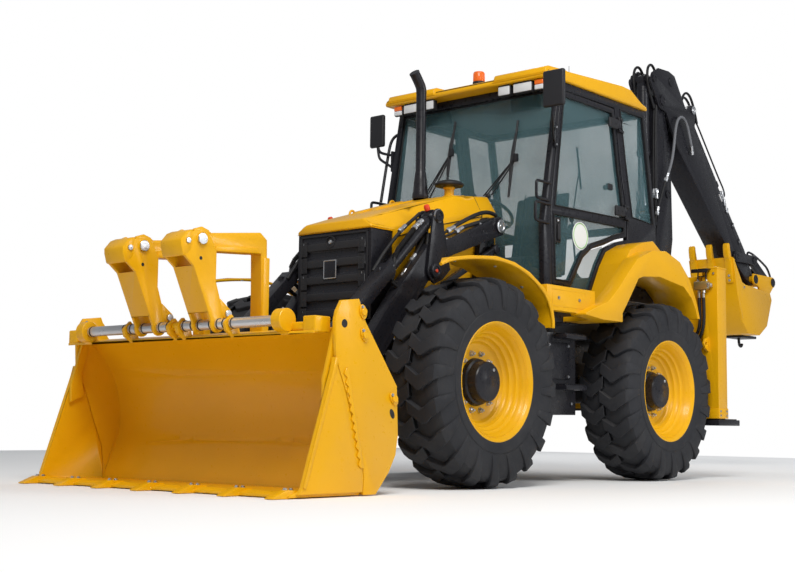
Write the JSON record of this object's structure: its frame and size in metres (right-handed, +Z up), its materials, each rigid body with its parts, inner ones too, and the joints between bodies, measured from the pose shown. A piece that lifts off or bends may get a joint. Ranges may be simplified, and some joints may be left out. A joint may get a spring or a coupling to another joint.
{
  "type": "backhoe loader",
  "caption": "Wheeled loader with a clam bucket and flip-over forks on linked arms, a glazed cab, and a side-shifting backhoe with stabiliser legs.",
  "frame": {"origin": "on the ground under the rear axle, at the middle of the parked machine's box", "axes": "+X forward to the loading bucket, +Y to the machine's left, +Z up"},
  "size_m": [8.2852, 2.38, 3.75],
  "materials": {
    "yellow_paint": "gloss enamel",
    "rim_yellow": "gloss enamel",
    "satin_black": "satin enamel",
    "engine_grey": "cast, painted",
    "pin_steel": "zinc plated",
    "chrome_rod": "polished",
    "tyre": "matt rubber",
    "tinted_glass": "tinted, polished",
    "black_plastic": "grained",
    "cab_trim": "grained",
    "seat_fabric": "woven"
  },
  "bodies": {
    "chassis": {"chassis_frame": "satin_black", "lift_base_pins": "satin_black", "engine_block": "engine_grey", "axles": "satin_black", "hood": "yellow_paint", "grille": "satin_black", "hood_stacks": "satin_black", "fenders": "yellow_paint", "cab_frame": "satin_black", "cab_floor": "cab_trim", "seat": "seat_fabric", "cab_roof": "yellow_paint", "cab_glass": "tinted_glass", "cab_fittings": "black_plastic", "rear_frame": "yellow_paint"},
    "door_left": {"door_left": "satin_black", "door_glass_left": "tinted_glass"},
    "door_right": {"door_right": "satin_black", "door_glass_right": "tinted_glass"},
    "knuckle_front_left": {"knuckle_front_left": "satin_black"},
    "wheel_front_left": {"tyre_front_left": "tyre", "rim_front_left": "rim_yellow"},
    "knuckle_front_right": {"knuckle_front_right": "satin_black"},
    "wheel_front_right": {"tyre_front_right": "tyre", "rim_front_right": "rim_yellow"},
    "knuckle_rear_left": {"knuckle_rear_left": "satin_black"},
    "wheel_rear_left": {"tyre_rear_left": "tyre", "rim_rear_left": "rim_yellow"},
    "knuckle_rear_right": {"knuckle_rear_right": "satin_black"},
    "wheel_rear_right": {"tyre_rear_right": "tyre", "rim_rear_right": "rim_yellow"},
    "loader_arms": {"loader_arms": "satin_black"},
    "loader_levers": {"loader_levers": "satin_black"},
    "levelling_links": {"levelling_links": "satin_black"},
    "tilt_pins": {"tilt_pins": "pin_steel"},
    "tilt_barrels": {"tilt_barrels": "satin_black"},
    "tilt_rods": {"tilt_rods": "satin_black"},
    "lift_barrels": {"lift_barrels": "satin_black"},
    "lift_rods": {"lift_rods": "chrome_rod"},
    "bucket_pins": {"bucket_pins": "pin_steel"},
    "bucket_shell": {"bucket_shell": "yellow_paint"},
    "bucket_clam": {"bucket_clam": "yellow_paint"},
    "fork_brackets": {"fork_brackets": "yellow_paint"},
    "fork_tines": {"fork_tines": "yellow_paint"},
    "stabiliser_left": {"stabiliser_left": "satin_black"},
    "stabiliser_right": {"stabiliser_right": "satin_black"},
    "carriage": {"carriage": "satin_black"},
    "kingpost": {"kingpost": "satin_black"},
    "boom": {"boom": "satin_black", "boom_ram_barrel": "satin_black", "boom_lugs": "satin_black"},
    "boom_ram_rod": {"boom_ram_rod": "chrome_rod"},
    "dipper": {"dipper": "satin_black", "hoe_ram_barrel": "satin_black"},
    "dipper_ram_barrel": {"dipper_ram_barrel": "satin_black"},
    "dipper_ram_rod": {"dipper_ram_rod": "chrome_rod"},
    "hoe_ram_rod": {"hoe_ram_rod": "chrome_rod"},
    "hoe_levers": {"hoe_levers": "satin_black"},
    "hoe_link": {"hoe_link": "satin_black"},
    "hoe_bucket": {"hoe_bucket": "yellow_paint"}
  },
  "joints": [
    {"name": "steer_front_left", "type": "hinge", "parent": "chassis", "child": "knuckle_front_left", "pos_m": [2.2, 0.8, 0.675], "axis": [0, 0, 1], "range_deg": [-20, 20]},
    {"name": "spin_front_left", "type": "hinge", "parent": "knuckle_front_left", "child": "wheel_front_left", "pos_m": [2.2, 0.955, 0.675], "axis": [0, 1, 0], "continuous": true},
    {"name": "steer_front_right", "type": "hinge", "parent": "chassis", "child": "knuckle_front_right", "pos_m": [2.2, -0.8, 0.675], "axis": [0, 0, 1], "range_deg": [-20, 20]},
    {"name": "spin_front_right", "type": "hinge", "parent": "knuckle_front_right", "child": "wheel_front_right", "pos_m": [2.2, -0.955, 0.675], "axis": [0, 1, 0], "continuous": true},
    {"name": "steer_rear_left", "type": "hinge", "parent": "chassis", "child": "knuckle_rear_left", "pos_m": [0, 0.8, 0.675], "axis": [0, 0, 1], "range_deg": [-20, 20]},
    {"name": "spin_rear_left", "type": "hinge", "parent": "knuckle_rear_left", "child": "wheel_rear_left", "pos_m": [0, 0.955, 0.675], "axis": [0, 1, 0], "continuous": true},
    {"name": "steer_rear_right", "type": "hinge", "parent": "chassis", "child": "knuckle_rear_right", "pos_m": [0, -0.8, 0.675], "axis": [0, 0, 1], "range_deg": [-20, 20]},
    {"name": "spin_rear_right", "type": "hinge", "parent": "knuckle_rear_right", "child": "wheel_rear_right", "pos_m": [0, -0.955, 0.675], "axis": [0, 1, 0], "continuous": true},
    {"name": "open_door_left", "type": "hinge", "parent": "chassis", "child": "door_left", "pos_m": [0.03, 0.794, 2.081], "axis": [0.127, 0, 0.9919], "range_deg": [0, 80]},
    {"name": "open_door_right", "type": "hinge", "parent": "chassis", "child": "door_right", "pos_m": [0.03, -0.794, 2.081], "axis": [-0.127, 0, -0.9919], "range_deg": [0, 80]},
    {"name": "raise_arms", "type": "hinge", "parent": "chassis", "child": "loader_arms", "pos_m": [1.3, 0, 1.84], "axis": [0, -1, 0], "range_deg": [-2, 80]},
    {"name": "level_levers", "type": "hinge", "parent": "loader_arms", "child": "loader_levers", "pos_m": [2.078, 0, 1.437], "axis": [0, -1, 0], "range_deg": [-80, 2]},
    {"name": "level_links", "type": "hinge", "parent": "chassis", "child": "levelling_links", "pos_m": [1.305, 0, 1.675], "axis": [0, -1, 0], "range_deg": [-2, 80]},
    {"name": "turn_tilt_pins", "type": "hinge", "parent": "loader_levers", "child": "tilt_pins", "pos_m": [2.04445, 0, 1.82054], "axis": [0, -1, 0], "range_deg": [-2, 73]},
    {"name": "carry_bucket", "type": "hinge", "parent": "loader_arms", "child": "bucket_pins", "pos_m": [3.1, 0, 0.34], "axis": [0, -1, 0], "range_deg": [-80, 2]},
    {"name": "tilt_bucket", "type": "hinge", "parent": "bucket_pins", "child": "bucket_shell", "pos_m": [3.1, 0, 0.34], "axis": [0, 1, 0], "range_deg": [-38, 45]},
    {"name": "swing_tilt_barrels", "type": "hinge", "parent": "tilt_pins", "child": "tilt_barrels", "pos_m": [2.04445, 0, 1.82054], "axis": [0, -1, 0], "range_deg": [-2.35, 2.9]},
    {"name": "extend_tilt_rods", "type": "slide", "parent": "tilt_barrels", "child": "tilt_rods", "axis": [0.7299, 0, -0.6835], "range_m": [-0.225, 0.265]},
    {"name": "swing_lift_barrels", "type": "hinge", "parent": "chassis", "child": "lift_barrels", "pos_m": [1.05, 0, 0.62], "axis": [0, -1, 0], "range_deg": [-1.2, 44]},
    {"name": "extend_lift_rods", "type": "slide", "parent": "lift_barrels", "child": "lift_rods", "axis": [0.9628, 0, 0.2703], "range_m": [-0.03, 1.13]},
    {"name": "open_clam", "type": "hinge", "parent": "bucket_shell", "child": "bucket_clam", "pos_m": [3.678, 0, 0.967], "axis": [0, -1, 0], "range_deg": [0, 60]},
    {"name": "swing_fork_brackets", "type": "hinge", "parent": "bucket_shell", "child": "fork_brackets", "pos_m": [3.865, 0, 0.965], "axis": [0, -1, 0], "range_deg": [-115, 0]},
    {"name": "fold_fork_tines", "type": "hinge", "parent": "fork_brackets", "child": "fork_tines", "pos_m": [4.008, 0, 1.45], "axis": [0, -1, 0], "range_deg": [-155, 0]},
    {"name": "lower_stabiliser_left", "type": "slide", "parent": "chassis", "child": "stabiliser_left", "axis": [0, 0, 1], "range_m": [-0.45, 0]},
    {"name": "lower_stabiliser_right", "type": "slide", "parent": "chassis", "child": "stabiliser_right", "axis": [0, 0, 1], "range_m": [-0.45, 0]},
    {"name": "shift_carriage", "type": "slide", "parent": "chassis", "child": "carriage", "axis": [0, 1, 0], "range_m": [-0.55, 0.55]},
    {"name": "swing_kingpost", "type": "hinge", "parent": "carriage", "child": "kingpost", "pos_m": [-1.09, 0, 1.03], "axis": [0, 0, 1], "range_deg": [-90, 90]},
    {"name": "lower_boom", "type": "hinge", "parent": "kingpost", "child": "boom", "pos_m": [-1.33, 0, 0.76], "axis": [0, 1, 0], "range_deg": [-115, 0]},
    {"name": "extend_boom_ram", "type": "slide", "parent": "boom", "child": "boom_ram_rod", "axis": [0.4203, 0, -0.9074], "range_m": [0, 0.7]},
    {"name": "reach_dipper", "type": "hinge", "parent": "boom", "child": "dipper", "pos_m": [-1.765, 0, 3.44], "axis": [0, -1, 0], "range_deg": [-105, 0]},
    {"name": "turn_dipper_ram", "type": "hinge", "parent": "dipper", "child": "dipper_ram_barrel", "pos_m": [-1.62, 0, 3.62], "axis": [0, -1, 0], "range_deg": [0, 105]},
    {"name": "extend_dipper_ram", "type": "slide", "parent": "dipper_ram_barrel", "child": "dipper_ram_rod", "axis": [0, 0, -1], "range_m": [-0.36, 0]},
    {"name": "dump_hoe_bucket", "type": "hinge", "parent": "dipper", "child": "hoe_bucket", "pos_m": [-3.55, 0, 1.92], "axis": [0, -1, 0], "range_deg": [-85, 0]},
    {"name": "turn_hoe_levers", "type": "hinge", "parent": "dipper", "child": "hoe_levers", "pos_m": [-3.2, 0, 2.12], "axis": [0, -1, 0], "range_deg": [-85, 0]},
    {"name": "turn_hoe_link", "type": "hinge", "parent": "hoe_levers", "child": "hoe_link", "pos_m": [-3.6, 0, 2.12], "axis": [0, -1, 0], "range_deg": [0, 85]},
    {"name": "extend_hoe_ram", "type": "slide", "parent": "dipper", "child": "hoe_ram_rod", "axis": [-0.6792, 0, -0.734], "range_m": [-0.54, 0]}
  ],
  "couplings": [
    {"joint": "steer_front_right", "follows": "steer_front_left", "ratio": 1},
    {"joint": "steer_rear_right", "follows": "steer_rear_left", "ratio": 1},
    {"joint": "level_levers", "follows": "raise_arms", "ratio": -1},
    {"joint": "level_links", "follows": "raise_arms", "ratio": 1},
    {"joint": "turn_tilt_pins", "follows": "raise_arms", "ratio": 0.9},
    {"joint": "carry_bucket", "follows": "raise_arms", "ratio": -1},
    {"joint": "swing_tilt_barrels", "follows": "tilt_bucket", "ratio": 0.06},
    {"joint": "extend_tilt_rods", "follows": "tilt_bucket", "m_per_rad": 0.33},
    {"joint": "swing_lift_barrels", "follows": "raise_arms", "ratio": 0.539},
    {"joint": "extend_lift_rods", "follows": "raise_arms", "m_per_rad": 0.7957},
    {"joint": "extend_boom_ram", "follows": "lower_boom", "m_per_rad": -0.3285},
    {"joint": "turn_dipper_ram", "follows": "reach_dipper", "ratio": -1},
    {"joint": "extend_dipper_ram", "follows": "reach_dipper", "m_per_rad": 0.188},
    {"joint": "turn_hoe_levers", "follows": "dump_hoe_bucket", "ratio": 1},
    {"joint": "turn_hoe_link", "follows": "dump_hoe_bucket", "ratio": -1},
    {"joint": "extend_hoe_ram", "follows": "dump_hoe_bucket", "m_per_rad": 0.35}
  ]
}
